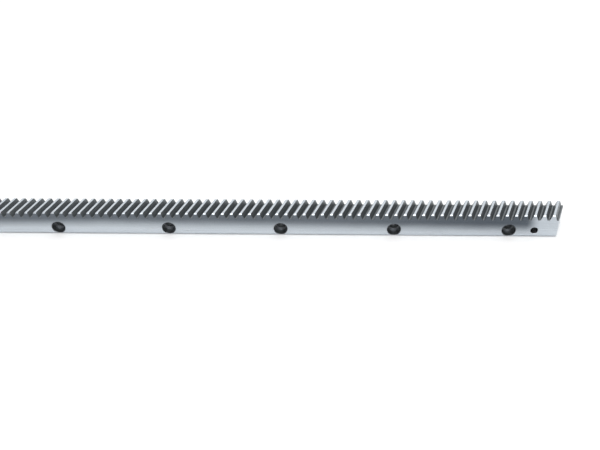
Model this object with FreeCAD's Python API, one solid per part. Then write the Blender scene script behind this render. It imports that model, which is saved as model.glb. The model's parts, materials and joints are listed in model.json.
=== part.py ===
"""Helical gear rack: one ground steel bar with teeth along the top and a row of counterbored bolt holes.

Millimetres. X runs along the bar, Y across it from the front face to the back face, Z up to the tooth tips.
The origin is at the middle of the bar's length and width, on the bottom face.
The back face is the one that is screwed to the machine; the bolt heads sit in the front face.
"""
import FreeCAD, Part
import math
import os

# Bar
LENGTH = 1000.0
WIDTH = 29.0
HEIGHT = 29.0
BOTTOM_CHAMFER = 2.0
TIP_CHAMFER = 1.0
END_CHAMFER = 0.5

# Teeth, in the section square to a tooth; the last value is where a tooth space lies beyond each cut end
NORMAL_MODULE = 3.0
PRESSURE_ANGLE = 20.0
HELIX_ANGLE = 19.0 + 31.0 / 60.0 + 42.0 / 3600.0
ADDENDUM = 1.0 * NORMAL_MODULE
DEDENDUM = 1.25 * NORMAL_MODULE
ROOT_FILLET = 0.3 * NORMAL_MODULE
END_SPACE_SHIFT = -1.0

# Bolt holes, counterbored from the front face
BOLT_SPACING = 125.0
HOLE_HEIGHT = 9.0
BOLT_HOLE_RADIUS = 5.0
COUNTERBORE_RADIUS = 7.5
COUNTERBORE_DEPTH = 9.0

# Dowel holes, one outside each end bolt
DOWEL_FROM_BOLT = 27.5
DOWEL_HOLE_RADIUS = 3.85

# Countersink on every hole mouth
MOUTH_CHAMFER = 0.4

# How far a cutting shape reaches past what it cuts
OVERCUT = 1.0

helix = math.radians(HELIX_ANGLE)
along_pitch = math.pi * NORMAL_MODULE / math.cos(helix)
end_slant = WIDTH * math.tan(helix)
front_y = -WIDTH / 2
back_y = WIDTH / 2
along_tooth = FreeCAD.Vector(math.sin(helix), math.cos(helix), 0)
across_tooth = FreeCAD.Vector(math.cos(helix), -math.sin(helix), 0)
up = FreeCAD.Vector(0, 0, 1)


def bar():
    """The plain bar: a chamfered section run along X, with both ends cut parallel to the teeth."""
    run = LENGTH + 2 * end_slant
    left = -run / 2
    outline = [
        (front_y + BOTTOM_CHAMFER, 0),
        (back_y - BOTTOM_CHAMFER, 0),
        (back_y, BOTTOM_CHAMFER),
        (back_y, HEIGHT - TIP_CHAMFER),
        (back_y - TIP_CHAMFER, HEIGHT),
        (front_y + TIP_CHAMFER, HEIGHT),
        (front_y, HEIGHT - TIP_CHAMFER),
        (front_y, BOTTOM_CHAMFER),
    ]
    points = [FreeCAD.Vector(left, y, z) for y, z in outline]
    section = Part.Face(Part.makePolygon(points + points[:1]))
    long_bar = section.extrude(FreeCAD.Vector(run, 0, 0))
    return chamfer_ends(long_bar.common(slanted_block()))


def slanted_block():
    """A block over the bar whose plan is the parallelogram that the slanted ends leave."""
    half = LENGTH / 2
    reach = WIDTH / 2 + OVERCUT
    shift = reach * math.tan(helix)
    plan = [
        (-half - shift, -reach),
        (half - shift, -reach),
        (half + shift, reach),
        (-half + shift, reach),
    ]
    points = [FreeCAD.Vector(x, y, -OVERCUT) for x, y in plan]
    return Part.Face(Part.makePolygon(points + points[:1])).extrude(up * (HEIGHT + 2 * OVERCUT))


def chamfer_ends(blank):
    """Breaks the edges round both end faces."""
    end_faces = [f for f in blank.Faces if abs(f.normalAt(0, 0).dot(across_tooth)) > 0.999]
    edges = [edge for face in end_faces for edge in face.Edges]
    return blank.makeChamfer(END_CHAMFER, edges)


def tooth_space(middle_x):
    """The metal taken out between two teeth: straight flanks, a flat root and a fillet in each root corner."""
    slope = math.tan(math.radians(PRESSURE_ANGLE))
    pitch_z = HEIGHT - ADDENDUM
    root_z = pitch_z - DEDENDUM
    top_z = HEIGHT + OVERCUT
    half_at_pitch = math.pi * NORMAL_MODULE / 4
    half_at_root = half_at_pitch - DEDENDUM * slope
    half_at_top = half_at_pitch + (top_z - pitch_z) * slope

    # The section stands far enough in front of the bar to clear its front face
    back_off = WIDTH / math.cos(helix)
    start = FreeCAD.Vector(middle_x, 0, 0) - along_tooth * back_off

    def at(u, z):
        return start + across_tooth * u + up * z

    # Each fillet turns from the flat root into the flank
    flank_turn = math.radians(90 - PRESSURE_ANGLE)
    centre_from_middle = half_at_root - ROOT_FILLET * math.tan(flank_turn / 2)

    def fillet_point(side, turn):
        u = side * (centre_from_middle + ROOT_FILLET * math.sin(turn))
        return at(u, root_z + ROOT_FILLET * (1 - math.cos(turn)))

    left_root, left_middle, left_flank = [fillet_point(-1, flank_turn * k) for k in (0, 0.5, 1)]
    right_root, right_middle, right_flank = [fillet_point(1, flank_turn * k) for k in (0, 0.5, 1)]
    left_top = at(-half_at_top, top_z)
    right_top = at(half_at_top, top_z)
    wire = Part.Wire([
        Part.LineSegment(left_top, left_flank).toShape(),
        Part.Arc(left_flank, left_middle, left_root).toShape(),
        Part.LineSegment(left_root, right_root).toShape(),
        Part.Arc(right_root, right_middle, right_flank).toShape(),
        Part.LineSegment(right_flank, right_top).toShape(),
        Part.LineSegment(right_top, left_top).toShape(),
    ])
    return Part.Face(wire).extrude(along_tooth * (2 * back_off))


def tooth_spaces():
    """Tooth spaces at every pitch, from past the left end to past the right one."""
    first = END_SPACE_SHIFT - LENGTH / 2
    pitches = math.ceil(LENGTH / along_pitch)
    return [tooth_space(first + i * along_pitch) for i in range(-1, pitches + 2)]


def stepped_hole(x, steps):
    """A round cutter square to the front face; steps are (depth from the front face, radius) corners."""
    points = [FreeCAD.Vector(x, front_y - OVERCUT, HOLE_HEIGHT)]
    points += [FreeCAD.Vector(x + radius, front_y + depth, HOLE_HEIGHT) for depth, radius in steps]
    points += [FreeCAD.Vector(x, back_y + OVERCUT, HOLE_HEIGHT)]
    face = Part.Face(Part.makePolygon(points + points[:1]))
    return face.revolve(points[0], FreeCAD.Vector(0, 1, 0), 360)


def bolt_hole(x):
    """Clearance hole with a counterbore for a socket head, both mouths lightly countersunk."""
    return stepped_hole(x, [
        (-OVERCUT, COUNTERBORE_RADIUS + MOUTH_CHAMFER + OVERCUT),
        (MOUTH_CHAMFER, COUNTERBORE_RADIUS),
        (COUNTERBORE_DEPTH, COUNTERBORE_RADIUS),
        (COUNTERBORE_DEPTH, BOLT_HOLE_RADIUS),
        (WIDTH - MOUTH_CHAMFER, BOLT_HOLE_RADIUS),
        (WIDTH + OVERCUT, BOLT_HOLE_RADIUS + MOUTH_CHAMFER + OVERCUT),
    ])


def dowel_hole(x):
    """Straight hole right through, with both mouths lightly countersunk."""
    return stepped_hole(x, [
        (-OVERCUT, DOWEL_HOLE_RADIUS + MOUTH_CHAMFER + OVERCUT),
        (MOUTH_CHAMFER, DOWEL_HOLE_RADIUS),
        (WIDTH - MOUTH_CHAMFER, DOWEL_HOLE_RADIUS),
        (WIDTH + OVERCUT, DOWEL_HOLE_RADIUS + MOUTH_CHAMFER + OVERCUT),
    ])


def holes():
    """Bolt holes centred on the back face, so the spacing runs on from one bar to the next, and two dowel holes."""
    count = math.floor(LENGTH / BOLT_SPACING)
    middle_x = end_slant / 2
    first_x = middle_x - (count - 1) * BOLT_SPACING / 2
    last_x = middle_x + (count - 1) * BOLT_SPACING / 2
    bolts = [bolt_hole(first_x + i * BOLT_SPACING) for i in range(count)]
    dowels = [dowel_hole(first_x - DOWEL_FROM_BOLT), dowel_hole(last_x + DOWEL_FROM_BOLT)]
    return bolts + dowels


def gear_rack():
    """The finished rack."""
    return bar().cut(tooth_spaces()).cut(holes())


os.makedirs("parts", exist_ok=True)
rack = gear_rack()
solid = rack.Solids[0]
print("solids", len(rack.Solids), "faces", len(solid.Faces), "volume", round(solid.Volume), "valid", solid.isValid())
solid.exportStep("parts/gear_rack.step")
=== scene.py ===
"""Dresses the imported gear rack: ground steel with broken edges, on a pale floor under soft light."""

import json
import math

import bpy
from mathutils import Matrix, Vector

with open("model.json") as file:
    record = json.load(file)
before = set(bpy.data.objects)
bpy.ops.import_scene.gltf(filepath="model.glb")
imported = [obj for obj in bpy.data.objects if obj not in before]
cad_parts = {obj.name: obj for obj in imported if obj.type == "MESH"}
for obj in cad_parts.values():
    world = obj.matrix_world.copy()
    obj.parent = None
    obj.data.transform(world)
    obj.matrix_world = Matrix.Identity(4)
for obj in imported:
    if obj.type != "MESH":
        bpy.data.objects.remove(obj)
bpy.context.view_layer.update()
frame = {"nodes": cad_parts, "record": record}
rack = frame["nodes"]["gear_rack"]
mounts = {mount["name"]: mount for mount in frame["record"]["mounts"]}
MM = 0.001
METRES_TO_MM = 1000.0

# Bar and teeth, in millimetres: a point's place tells the lands, flanks, roots and ends apart
HELIX = math.radians(19.0 + 31.0 / 60.0 + 42.0 / 3600.0)
ALONG_TOOTH = (math.sin(HELIX), math.cos(HELIX), 0.0)
ACROSS_TOOTH = (math.cos(HELIX), -math.sin(HELIX), 0.0)
UP = (0.0, 0.0, 1.0)
TIP_Z = 29.0
ROOT_Z = 22.25
NEAR_ROOT_Z = ROOT_Z + 0.5
HALF_WIDTH = 14.5
HALF_LENGTH = mounts["right_end"]["pos_m"][0] / MM
SLACK = 0.05

# A surface faces a direction where its normal, one unit long, reaches at least this far along it
FACES_SIDE = 0.2
FACES_END = 0.99
FACES_UP = 0.5

# Broken edges, in millimetres: their width, and how far down a flank the surface still counts as edge
EDGE_BREAK = 0.25
EDGE_REACH = 0.275
EDGE_SEGMENTS = 2

# The sharp edges of the teeth and holes are broken, but not those at the bar's ends and the holes' mouths
SHARP_ANGLE = math.radians(46)
TEETH_START_Z = ROOT_Z - 1.0
END_MARGIN = 1.5
MOUTH_MARGIN = 1.0

# Corners nearer than the weld, in millimetres, are joined, and edges over the crease angle stay creased
WELD = 0.001
CREASE_ANGLE = math.radians(30)

# Holes, in millimetres from the middle of their row: a mouth's radius takes in its countersink
ROW_X = mounts["bolt_pair_outer"]["pos_m"][0] / MM
HOLE_Z = mounts["bolt_pair_outer"]["pos_m"][2] / MM
FIRST_BOLT = mounts["bolt_pair_inner"]["dims"]["spacing_x_mm"] / 2
LAST_BOLT = mounts["bolt_pair_outer"]["dims"]["spacing_x_mm"] / 2
DOWEL = mounts["dowel_pair"]["dims"]["spacing_x_mm"] / 2
BOLT_MOUTH_RADIUS = 8.2
DOWEL_MOUTH_RADIUS = 4.5

# Painted shade under the teeth, standing in for a dark reflection, in millimetres: it fades between two
# heights and reaches lower with each millimetre outwards
SHADE_BAND_STARTS = 7.7
SHADE_BAND_FULL = 25.2
SHADE_BAND_DROP = 0.0105
SHADE_BAND_UNEVENNESS = 3.0

# The painted shade is weaker round the bar's middle and near its ends, for so many millimetres and fading for
# some more
MIDDLE_SHARE = 0.93
MIDDLE_REACH = 250.0
MIDDLE_FADED = 430.0
END_SHARE = 0.215
END_REACH = 24.0
END_FADED = 40.0

# Colours of the steel, with painted shade for the band under the teeth, the tooth spaces and the holes
PALE_STEEL = (0.635, 0.68, 0.72, 1)
GREY_STEEL = (0.545, 0.595, 0.645, 1)
STREAK_COLOUR = (0.45, 0.49, 0.53, 1)
LINE_COLOUR = (0.40, 0.44, 0.48, 1)
# Painted shade: a dark band under the teeth that stands in for a dark reflection
SHADE_BAND_COLOUR = (0.083, 0.097, 0.114, 1)
# Tooth spaces: darker partly for their cut finish and partly as painted shade; the roots darker still as
# painted shade
PALE_FLANK = (0.33, 0.355, 0.37, 1)
DARK_FLANK = (0.215, 0.235, 0.247, 1)
ROOT_SHADE_COLOUR = (0.21, 0.225, 0.235, 1)
# Painted shade in the holes
HOLE_SHADE_COLOUR = (0.12, 0.12, 0.12, 1)
SCRATCH_COLOUR = (0.80, 0.82, 0.84, 1)
STREAK_SHARE = 0.25
LINE_SHARE = 0.3
HOLE_SHADE_SHARE = 0.7
SCRATCH_SHARE = 0.2

# Patterns: how often each changes in a millimetre, along the bar or tooth, across it and upwards
CLOUDS = (0.03, 0.06, 0.06)
STREAKS = (0.008, 0.7, 0.7)
FINE_LINES = (0.012, 3.0, 3.0)
GRAIN = (0.25, 1.6, 1.6)
GROUND_LINES = (0.02, 4.0, 4.0)
CUT_LINES = (0.05, 4.0, 4.0)
BORED_LINES = (0.1, 5.0, 0.1)
SCRATCHES = (0.02, 0.5, 0.5)
SCRATCH_PATCHES = (0.04, 0.1, 0.1)

# Scratches lean by so much a millimetre, and show where their noise is this near its middle
SCRATCH_LEAN = 0.12
SCRATCH_THINNESS = 0.004

# Arcs of the face mill on the ends, so many a millimetre: their middle lies beside the bar and below it
MILLED_BANDS = 1.6
MILLED_LINES = 3.0
MILL_SIDEWAYS = 70.0
MILL_BELOW = 25.0

# Noise keeps mostly between low and high, and a pattern can start or be full at another value of it
NOISE_LOW = 0.3
NOISE_MIDDLE = 0.5
NOISE_HIGH = 0.7
LINES_START = 0.4
PATCHES_START = 0.52
PATCHES_FULL = 0.62

# How much finer noise is added to a pattern, and how strong that is in the grain
RICH_DETAIL = 4.0
LINE_DETAIL = 2.0
SCRATCH_DETAIL = 1.0
GRAIN_CONTRAST = 0.65

# Gloss and relief of the steel
GROUND_ROUGHNESS = 0.18
STREAK_ROUGHNESS = 0.10
CLOUD_ROUGHNESS = 0.06
SMOOTH_FLANK = 0.44
ROUGH_FLANK = 0.56
BORE_ROUGHNESS = 0.4
LINE_STRENGTH = 0.5
LINE_DEPTH = 0.02 * MM

# Camera, from a pinhole fitted to the photograph: its place is given from the last bolt hole on the bottom
LAST_BOLT_X = (ROW_X + LAST_BOLT) * MM
CAMERA_FROM_BOLT = Vector((-179.4 * MM, -775.4 * MM, 590.2 * MM))
CAMERA_PITCH = math.radians(37.057)
CAMERA_YAW = math.radians(-3.681)
CAMERA_ROLL = math.radians(-1.852)
CAMERA_LENS = 51.97
SENSOR_WIDTH = 36.0
NEAREST_SEEN = 0.01
FARTHEST_SEEN = 200

# Floor
FLOOR_REACH = 40.0
FLOOR_COLOUR = (0.92, 0.92, 0.92, 1)
FLOOR_ROUGHNESS = 0.9
FLOOR_SHINE = 0.1

# Dome: its brightness rises between two heights above the horizon
WHITE = (1, 1, 1, 1)
DOME_STARTS = math.radians(25)
DOME_FULL = math.radians(33)
DOME_BRIGHTNESS = 1.35
RING_BRIGHTNESS = 0.15
SURROUND_BRIGHTNESS = 0.904

# The dome is dimmer where its direction reaches far towards the front left
FRONT_LEFT = (-math.sqrt(0.5), -math.sqrt(0.5), 0.0)
FRONT_LEFT_STARTS = 0.45
FRONT_LEFT_FULL = 0.75
FRONT_LEFT_SHARE = 0.35

# Front light, in metres and watts
LIGHT_PLACE = Vector((0.4, -1.3, 1.7))
LIGHT_TARGET = Vector((0.4, 0, 0))
LIGHT_WIDTH = 1.7
LIGHT_HEIGHT = 2.4
LIGHT_POWER = 24


def make_camera():
    """A camera that looks down on the rack's right half, as the photograph does."""
    forward = Vector((
        math.sin(CAMERA_YAW) * math.cos(CAMERA_PITCH),
        math.cos(CAMERA_YAW) * math.cos(CAMERA_PITCH),
        -math.sin(CAMERA_PITCH),
    ))
    level = Vector((math.cos(CAMERA_YAW), -math.sin(CAMERA_YAW), 0))
    above = level.cross(forward)
    right = level * math.cos(CAMERA_ROLL) + above * math.sin(CAMERA_ROLL)
    up = above * math.cos(CAMERA_ROLL) - level * math.sin(CAMERA_ROLL)
    data = bpy.data.cameras.new("camera")
    data.lens = CAMERA_LENS
    data.sensor_width = SENSOR_WIDTH
    data.clip_start = NEAREST_SEEN
    data.clip_end = FARTHEST_SEEN
    camera = bpy.data.objects.new("camera", data)
    turn = Matrix((right, up, -forward)).transposed().to_4x4()
    camera.matrix_world = Matrix.Translation(Vector((LAST_BOLT_X, 0, 0)) + CAMERA_FROM_BOLT) @ turn
    bpy.context.scene.collection.objects.link(camera)
    bpy.context.scene.camera = camera


class Nodes:
    """Short ways to add nodes to a node tree and to join them."""

    def __init__(self, tree):
        self.tree = tree

    def add(self, kind, inputs=None, **settings):
        """One node. inputs maps socket names or numbers to a value or to another node's socket."""
        node = self.tree.nodes.new(kind)
        for name, setting in settings.items():
            setattr(node, name, setting)
        for socket, value in (inputs or {}).items():
            self.feed(node.inputs[socket], value)
        return node

    def feed(self, socket, value):
        """Sets a socket to a plain value, or joins another node's output to it."""
        if isinstance(value, bpy.types.NodeSocket):
            self.tree.links.new(value, socket)
        else:
            socket.default_value = value

    def math(self, operation, *values, clamp=False):
        """A Math node's result."""
        node = self.add("ShaderNodeMath", operation=operation, use_clamp=clamp)
        for socket, value in zip(node.inputs, values):
            self.feed(socket, value)
        return node.outputs[0]

    def product(self, *values):
        """Several values multiplied together."""
        result = values[0]
        for value in values[1:]:
            result = self.math("MULTIPLY", result, value)
        return result

    def length(self, first, second):
        """The length of a line from its two parts at right angles."""
        squares = self.math("MULTIPLY_ADD", first, first, self.product(second, second))
        return self.math("SQRT", squares)

    def dot(self, vector, direction):
        """How far a vector reaches along a fixed direction."""
        node = self.add("ShaderNodeVectorMath", {0: vector, 1: direction}, operation="DOT_PRODUCT")
        return node.outputs["Value"]

    def combine(self, x, y, z):
        """A vector from its three parts."""
        return self.add("ShaderNodeCombineXYZ", {0: x, 1: y, 2: z}).outputs[0]

    def ramp(self, value, start, end, low=0.0, high=1.0):
        """Runs smoothly from low to high as the value goes from start to end."""
        inputs = {"Value": value, "From Min": start, "From Max": end, "To Min": low, "To Max": high}
        return self.add("ShaderNodeMapRange", inputs, interpolation_type="SMOOTHSTEP").outputs["Result"]

    def noise(self, place, detail=3.0, roughness=0.5):
        """Cloudy noise, from 0 to 1."""
        inputs = {"Vector": place, "Scale": 1.0, "Detail": detail, "Roughness": roughness}
        return self.add("ShaderNodeTexNoise", inputs).outputs["Fac"]

    def mix(self, factor, first, second):
        """One value that turns into the other as the factor goes from 0 to 1."""
        node = self.add("ShaderNodeMix", {"Factor": factor, "A": first, "B": second}, data_type="FLOAT")
        return node.outputs["Result"]

    def mix_colour(self, factor, first, second):
        """One colour that turns into the other as the factor goes from 0 to 1."""
        node = self.add("ShaderNodeMix", {"Factor": factor}, data_type="RGBA")
        colour_inputs = [socket for socket in node.inputs if socket.type == "RGBA"]
        self.feed(colour_inputs[0], first)
        self.feed(colour_inputs[1], second)
        return [socket for socket in node.outputs if socket.type == "RGBA"][0]


def make_floor():
    """A wide pale floor."""
    mesh = bpy.data.meshes.new("floor")
    corners = [
        (-FLOOR_REACH, -FLOOR_REACH, 0),
        (FLOOR_REACH, -FLOOR_REACH, 0),
        (FLOOR_REACH, FLOOR_REACH, 0),
        (-FLOOR_REACH, FLOOR_REACH, 0),
    ]
    mesh.from_pydata(corners, [], [(0, 1, 2, 3)])
    floor = bpy.data.objects.new("floor", mesh)
    bpy.context.scene.collection.objects.link(floor)
    material = bpy.data.materials.new("pale_floor")
    material.use_nodes = True
    shader = material.node_tree.nodes["Principled BSDF"]
    shader.inputs["Base Color"].default_value = FLOOR_COLOUR
    shader.inputs["Roughness"].default_value = FLOOR_ROUGHNESS
    shader.inputs["Specular IOR Level"].default_value = FLOOR_SHINE
    mesh.materials.append(material)


def make_front_light():
    """A soft rectangular light in front. It shows in the steel but not in the picture itself."""
    data = bpy.data.lights.new("front_light", "AREA")
    data.shape = "RECTANGLE"
    data.size = LIGHT_WIDTH
    data.size_y = LIGHT_HEIGHT
    data.energy = LIGHT_POWER
    light = bpy.data.objects.new("front_light", data)
    light.location = LIGHT_PLACE
    aim = LIGHT_TARGET - LIGHT_PLACE
    light.rotation_euler = aim.to_track_quat("-Z", "Y").to_euler()
    light.visible_camera = False
    bpy.context.scene.collection.objects.link(light)


def make_surround():
    """A bright dome, dimmer at the front left, above a dim ring near the horizon.

    The steel's upward faces mirror the dome and its flanks the ring. The camera itself sees a pale surround.
    """
    world = bpy.data.worlds.new("surround")
    world.use_nodes = True
    world.node_tree.nodes.clear()
    nodes = Nodes(world.node_tree)
    direction = nodes.add("ShaderNodeTexCoord").outputs["Generated"]
    height = nodes.dot(direction, UP)
    lowest = math.sin(DOME_STARTS)
    highest = math.sin(DOME_FULL)
    brightness = nodes.ramp(height, lowest, highest, RING_BRIGHTNESS, DOME_BRIGHTNESS)
    to_front_left = nodes.dot(direction, FRONT_LEFT)
    share = nodes.ramp(to_front_left, FRONT_LEFT_STARTS, FRONT_LEFT_FULL, 1.0, FRONT_LEFT_SHARE)
    strength = nodes.product(brightness, share)
    dome = nodes.add("ShaderNodeBackground", {"Color": WHITE, "Strength": strength})
    pale = nodes.add("ShaderNodeBackground", {"Color": WHITE, "Strength": SURROUND_BRIGHTNESS})
    seen = nodes.add("ShaderNodeLightPath").outputs["Is Camera Ray"]
    mixed = nodes.add("ShaderNodeMixShader", {0: seen, 1: dome.outputs[0], 2: pale.outputs[0]})
    nodes.add("ShaderNodeOutputWorld", {"Surface": mixed.outputs[0]})
    bpy.context.scene.world = world


class RackPlace:
    """Where a point of the rack lies, in millimetres, and which way the surface faces there."""

    def __init__(self, nodes):
        self.nodes = nodes
        coordinates = nodes.add("ShaderNodeTexCoord").outputs["Object"]
        inputs = {0: coordinates, "Scale": METRES_TO_MM}
        point = nodes.add("ShaderNodeVectorMath", inputs, operation="SCALE").outputs[0]
        self.x, self.y, self.z = nodes.add("ShaderNodeSeparateXYZ", {0: point}).outputs
        self.along = nodes.dot(point, ALONG_TOOTH)
        self.across = nodes.dot(point, ACROSS_TOOTH)
        facing = nodes.add("ShaderNodeNewGeometry").outputs["True Normal"]
        self.facing_along = nodes.math("ABSOLUTE", nodes.dot(facing, ALONG_TOOTH))
        self.facing_across = nodes.math("ABSOLUTE", nodes.dot(facing, ACROSS_TOOTH))
        self.facing_up = nodes.math("ABSOLUTE", nodes.dot(facing, UP))

    def stretched_noise(self, parts, pattern, **settings):
        """Noise that changes along three parts of the place as often as the pattern says."""
        stretched = [self.nodes.product(part, often) for part, often in zip(parts, pattern)]
        return self.nodes.noise(self.nodes.combine(*stretched), **settings)

    def bar_noise(self, pattern, **settings):
        """Noise stretched along the bar's own axes."""
        return self.stretched_noise((self.x, self.y, self.z), pattern, **settings)

    def tooth_noise(self, pattern, **settings):
        """Noise stretched along the teeth."""
        return self.stretched_noise((self.along, self.across, self.z), pattern, **settings)

    def milling_arcs(self, arcs, **settings):
        """Noise in wide arcs across an end face, as a face mill leaves them."""
        nodes = self.nodes
        sideways = nodes.math("ADD", self.along, MILL_SIDEWAYS)
        upwards = nodes.math("ADD", self.z, MILL_BELOW)
        radius = nodes.length(sideways, upwards)
        return nodes.noise(nodes.combine(nodes.product(radius, arcs), 0.0, 0.0), **settings)

    def tooth_space(self):
        """1 on the flanks, fillets and roots, but not on the broken edges round them."""
        nodes = self.nodes
        below_land = nodes.math("LESS_THAN", self.z, TIP_Z - EDGE_REACH)
        above_root = nodes.math("GREATER_THAN", self.z, ROOT_Z - SLACK)
        not_side = nodes.math("LESS_THAN", self.facing_along, FACES_SIDE)
        not_end = nodes.math("LESS_THAN", self.facing_across, FACES_END)
        return nodes.product(below_land, above_root, not_side, not_end)

    def end_face(self):
        """1 on the bar's two ends."""
        return self.nodes.math("GREATER_THAN", self.facing_across, FACES_END)

    def hole(self):
        """1 in the holes: bolt holes repeat along their row, and a dowel hole lies outside each last one."""
        nodes = self.nodes
        from_row = nodes.math("ABSOLUTE", nodes.math("SUBTRACT", self.x, ROW_X))
        from_bolt = nodes.math("SUBTRACT", FIRST_BOLT, nodes.math("PINGPONG", from_row, FIRST_BOLT))
        from_dowel = nodes.math("SUBTRACT", from_row, DOWEL)
        from_axis = nodes.math("SUBTRACT", self.z, HOLE_Z)
        in_bolt = nodes.math("LESS_THAN", nodes.length(from_axis, from_bolt), BOLT_MOUTH_RADIUS)
        in_dowel = nodes.math("LESS_THAN", nodes.length(from_axis, from_dowel), DOWEL_MOUTH_RADIUS)
        inside = nodes.math("LESS_THAN", nodes.math("ABSOLUTE", self.y), HALF_WIDTH - SLACK)
        return nodes.product(inside, nodes.math("MAXIMUM", in_bolt, in_dowel))

    def painted_band_shade(self, unevenness):
        """How far painted shade darkens the upright faces under the teeth and the roots' broken edges, from 0
        to 1.
        """
        nodes = self.nodes
        from_middle = nodes.math("ABSOLUTE", self.x)
        from_end = nodes.math("SUBTRACT", HALF_LENGTH, from_middle)
        height = nodes.math("MULTIPLY_ADD", from_middle, SHADE_BAND_DROP, self.z)
        height = nodes.math("MULTIPLY_ADD", unevenness, SHADE_BAND_UNEVENNESS, height)
        under_teeth = nodes.ramp(height, SHADE_BAND_STARTS, SHADE_BAND_FULL)
        off_middle = nodes.ramp(from_middle, MIDDLE_REACH, MIDDLE_FADED, MIDDLE_SHARE)
        off_end = nodes.ramp(from_end, END_REACH, END_FADED, END_SHARE)
        upright = nodes.math("LESS_THAN", self.facing_up, FACES_UP)
        below_flank = nodes.math("LESS_THAN", self.z, NEAR_ROOT_Z)
        darkened = nodes.math("MAXIMUM", upright, below_flank)
        return nodes.product(under_teeth, off_middle, off_end, darkened)


def tool_lines(nodes, place, in_space, in_hole):
    """Height of the fine lines that grinding, tooth cutting, end milling and boring leave."""
    lines = nodes.mix(in_space, place.bar_noise(GROUND_LINES), place.tooth_noise(CUT_LINES))
    lines = nodes.mix(place.end_face(), lines, place.milling_arcs(MILLED_LINES))
    return nodes.mix(in_hole, lines, place.bar_noise(BORED_LINES))


def scratches(nodes, place):
    """A few thin scratches from handling: narrow crests of a long-drawn noise, broken up by a wider one."""
    lean = nodes.math("MULTIPLY_ADD", place.x, SCRATCH_LEAN, place.z)
    wave = place.stretched_noise((place.x, place.y, lean), SCRATCHES, detail=SCRATCH_DETAIL)
    crest = nodes.math("ABSOLUTE", nodes.math("SUBTRACT", wave, NOISE_MIDDLE))
    thin = nodes.ramp(crest, 0.0, SCRATCH_THINNESS, 1.0, 0.0)
    patches = nodes.ramp(place.bar_noise(SCRATCH_PATCHES), PATCHES_START, PATCHES_FULL)
    return nodes.product(thin, patches)


def ground_colour(nodes, place, clouds, streaks):
    """The ground faces: faint clouds, long streaks and fine lines. On the bar's ends the lines are arcs."""
    lines = place.bar_noise(FINE_LINES, detail=LINE_DETAIL)
    lines = nodes.mix(place.end_face(), lines, place.milling_arcs(MILLED_BANDS, detail=RICH_DETAIL))
    colour = nodes.mix_colour(clouds, GREY_STEEL, PALE_STEEL)
    streaked = nodes.ramp(streaks, NOISE_LOW, NOISE_HIGH, 0.0, STREAK_SHARE)
    colour = nodes.mix_colour(streaked, colour, STREAK_COLOUR)
    lined = nodes.ramp(lines, LINES_START, NOISE_HIGH, 0.0, LINE_SHARE)
    return nodes.mix_colour(lined, colour, LINE_COLOUR)


def space_colour(nodes, place, grain):
    """The tooth spaces: flanks with short marks of the cut, darker partly for their cut finish and partly as
    painted shade, with more painted shade towards the roots.
    """
    flank = nodes.mix_colour(grain, DARK_FLANK, PALE_FLANK)
    # Painted shade: darker towards the roots
    depth = nodes.ramp(place.z, TIP_Z, NEAR_ROOT_Z)
    return nodes.mix_colour(depth, flank, ROOT_SHADE_COLOUR)


def steel():
    """Ground steel, bright along the bar and duller in the tooth spaces and holes. Painted shade darkens the
    tooth spaces, the holes and a band under the teeth.
    """
    material = bpy.data.materials.new("ground_steel")
    material.use_nodes = True
    nodes = Nodes(material.node_tree)
    shader = material.node_tree.nodes["Principled BSDF"]
    place = RackPlace(nodes)
    in_space = place.tooth_space()
    in_hole = place.hole()
    clouds = place.bar_noise(CLOUDS, detail=RICH_DETAIL)
    streaks = place.bar_noise(STREAKS, detail=RICH_DETAIL)
    grain = place.tooth_noise(GRAIN, detail=RICH_DETAIL, roughness=GRAIN_CONTRAST)
    grain = nodes.ramp(grain, NOISE_LOW, NOISE_HIGH)
    scratched = scratches(nodes, place)

    colour = ground_colour(nodes, place, clouds, streaks)
    # Painted shade: a dark band under the teeth and on the roots' broken edges
    colour = nodes.mix_colour(place.painted_band_shade(clouds), colour, SHADE_BAND_COLOUR)
    # The tooth spaces, darkened partly by painted shade
    colour = nodes.mix_colour(in_space, colour, space_colour(nodes, place, grain))
    # Painted shade darkens the holes
    colour = nodes.mix_colour(nodes.product(in_hole, HOLE_SHADE_SHARE), colour, HOLE_SHADE_COLOUR)
    colour = nodes.mix_colour(nodes.product(scratched, SCRATCH_SHARE), colour, SCRATCH_COLOUR)
    nodes.feed(shader.inputs["Base Color"], colour)
    shader.inputs["Metallic"].default_value = 1.0

    rough = nodes.math("MULTIPLY_ADD", streaks, STREAK_ROUGHNESS, GROUND_ROUGHNESS)
    rough = nodes.math("MULTIPLY_ADD", clouds, CLOUD_ROUGHNESS, rough)
    rough = nodes.mix(in_space, rough, nodes.mix(grain, SMOOTH_FLANK, ROUGH_FLANK))
    rough = nodes.mix(in_hole, rough, BORE_ROUGHNESS)
    nodes.feed(shader.inputs["Roughness"], rough)

    height = nodes.math("SUBTRACT", tool_lines(nodes, place, in_space, in_hole), scratched)
    bump = nodes.add("ShaderNodeBump", {"Height": height, "Strength": LINE_STRENGTH, "Distance": LINE_DEPTH})
    nodes.feed(shader.inputs["Normal"], bump.outputs[0])
    return material


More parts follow.
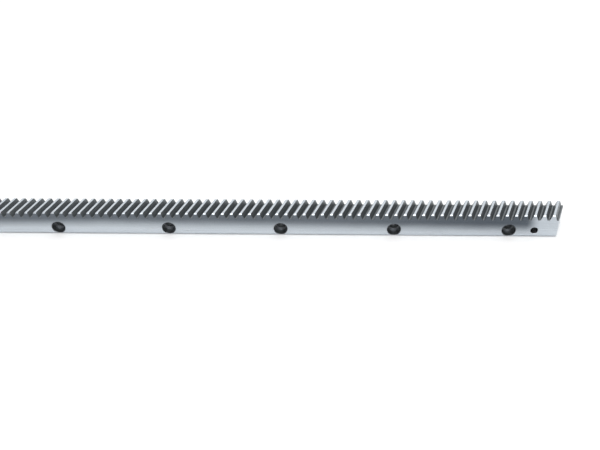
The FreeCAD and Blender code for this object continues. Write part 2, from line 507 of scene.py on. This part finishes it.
def pick_edges():
    """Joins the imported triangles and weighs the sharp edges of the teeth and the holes' steps for the bevel.

    The bar's ends and the holes' mouths have their chamfers in the solid, so their edges are left alone.
    """
    group = bpy.data.node_groups.new("pick_edges", "GeometryNodeTree")
    group.interface.new_socket("Geometry", in_out="INPUT", socket_type="NodeSocketGeometry")
    group.interface.new_socket("Geometry", in_out="OUTPUT", socket_type="NodeSocketGeometry")
    nodes = Nodes(group)
    packed = nodes.add("NodeGroupInput").outputs[0]
    inputs = {"Geometry": packed, "Distance": WELD * MM}
    joined = nodes.add("GeometryNodeMergeByDistance", inputs).outputs[0]

    place = nodes.add("GeometryNodeInputPosition").outputs[0]
    parts = nodes.add("ShaderNodeSeparateXYZ", {0: place}).outputs
    on_tooth = nodes.math("GREATER_THAN", parts["Z"], TEETH_START_Z * MM)
    from_middle = nodes.math("ABSOLUTE", nodes.dot(place, ACROSS_TOOTH))
    off_end = nodes.math("LESS_THAN", from_middle, (HALF_LENGTH * math.cos(HELIX) - END_MARGIN) * MM)
    sideways = nodes.math("ABSOLUTE", parts["Y"])
    inside = nodes.math("LESS_THAN", sideways, (HALF_WIDTH - MOUTH_MARGIN) * MM)
    in_hole = nodes.math("SUBTRACT", inside, on_tooth, clamp=True)
    angle = nodes.add("GeometryNodeInputMeshEdgeAngle").outputs["Unsigned Angle"]
    sharp = nodes.math("GREATER_THAN", angle, SHARP_ANGLE)
    weight = nodes.product(sharp, off_end, nodes.math("MAXIMUM", on_tooth, in_hole))

    crease = nodes.math("GREATER_THAN", angle, CREASE_ANGLE)
    inputs = {"Geometry": joined, "Selection": crease, "Shade Smooth": False}
    creased = nodes.add("GeometryNodeSetShadeSmooth", domain="EDGE", inputs=inputs).outputs[0]
    inputs = {"Geometry": creased, "Name": "bevel_weight_edge", "Value": weight}
    stored = nodes.add("GeometryNodeStoreNamedAttribute", data_type="FLOAT", domain="EDGE", inputs=inputs)
    nodes.add("NodeGroupOutput", {0: stored.outputs[0]})
    return group


def break_edges(node):
    """Rounds the picked edges a little."""
    picker = node.modifiers.new("pick_edges", "NODES")
    picker.node_group = pick_edges()
    bevel = node.modifiers.new("broken_edges", "BEVEL")
    bevel.width = EDGE_BREAK * MM
    bevel.segments = EDGE_SEGMENTS
    bevel.limit_method = "WEIGHT"
    bevel.use_clamp_overlap = False
    bevel.loop_slide = False
    bevel.harden_normals = True


def dress_rack():
    """The rack keeps its solid; its edges are broken and its surfaces get their finish."""
    rack.data.materials.clear()
    rack.data.materials.append(steel())
    break_edges(rack)


bpy.context.scene.view_settings.view_transform = "Standard"
make_camera()
make_floor()
make_surround()
make_front_light()
dress_rack()

bpy.context.view_layer.update()
